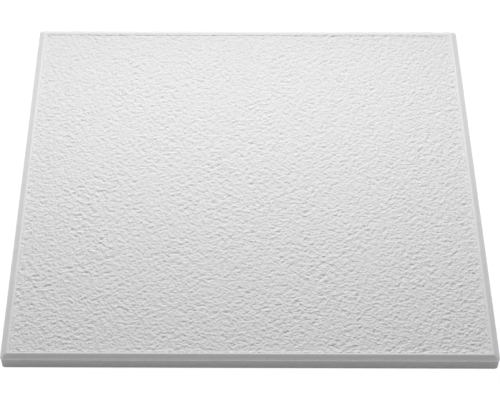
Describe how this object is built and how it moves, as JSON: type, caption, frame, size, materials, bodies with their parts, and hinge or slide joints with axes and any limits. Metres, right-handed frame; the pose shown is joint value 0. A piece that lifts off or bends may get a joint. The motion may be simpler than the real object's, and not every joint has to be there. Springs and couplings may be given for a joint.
{
  "type": "polystyrene ceiling tile",
  "caption": "Square moulded foam ceiling tile with a chamfered edge, a flat rim and a sunk roughcast face; its plain back is glued to the ceiling.",
  "frame": {"origin": "centre of the back face, in its plane", "axes": "+Z out of the decorative face, +X and +Y along the sides; the tile lies on its back with the face up, and +Y points away from the side nearest the viewer in the picture"},
  "size_m": [0.5, 0.5, 0.0165],
  "materials": {
    "foam": "white moulded expanded polystyrene, matt, with a faint grain of fused beads"
  },
  "bodies": {
    "root": {"ceiling_tile": "foam"}
  },
  "joints": []
}
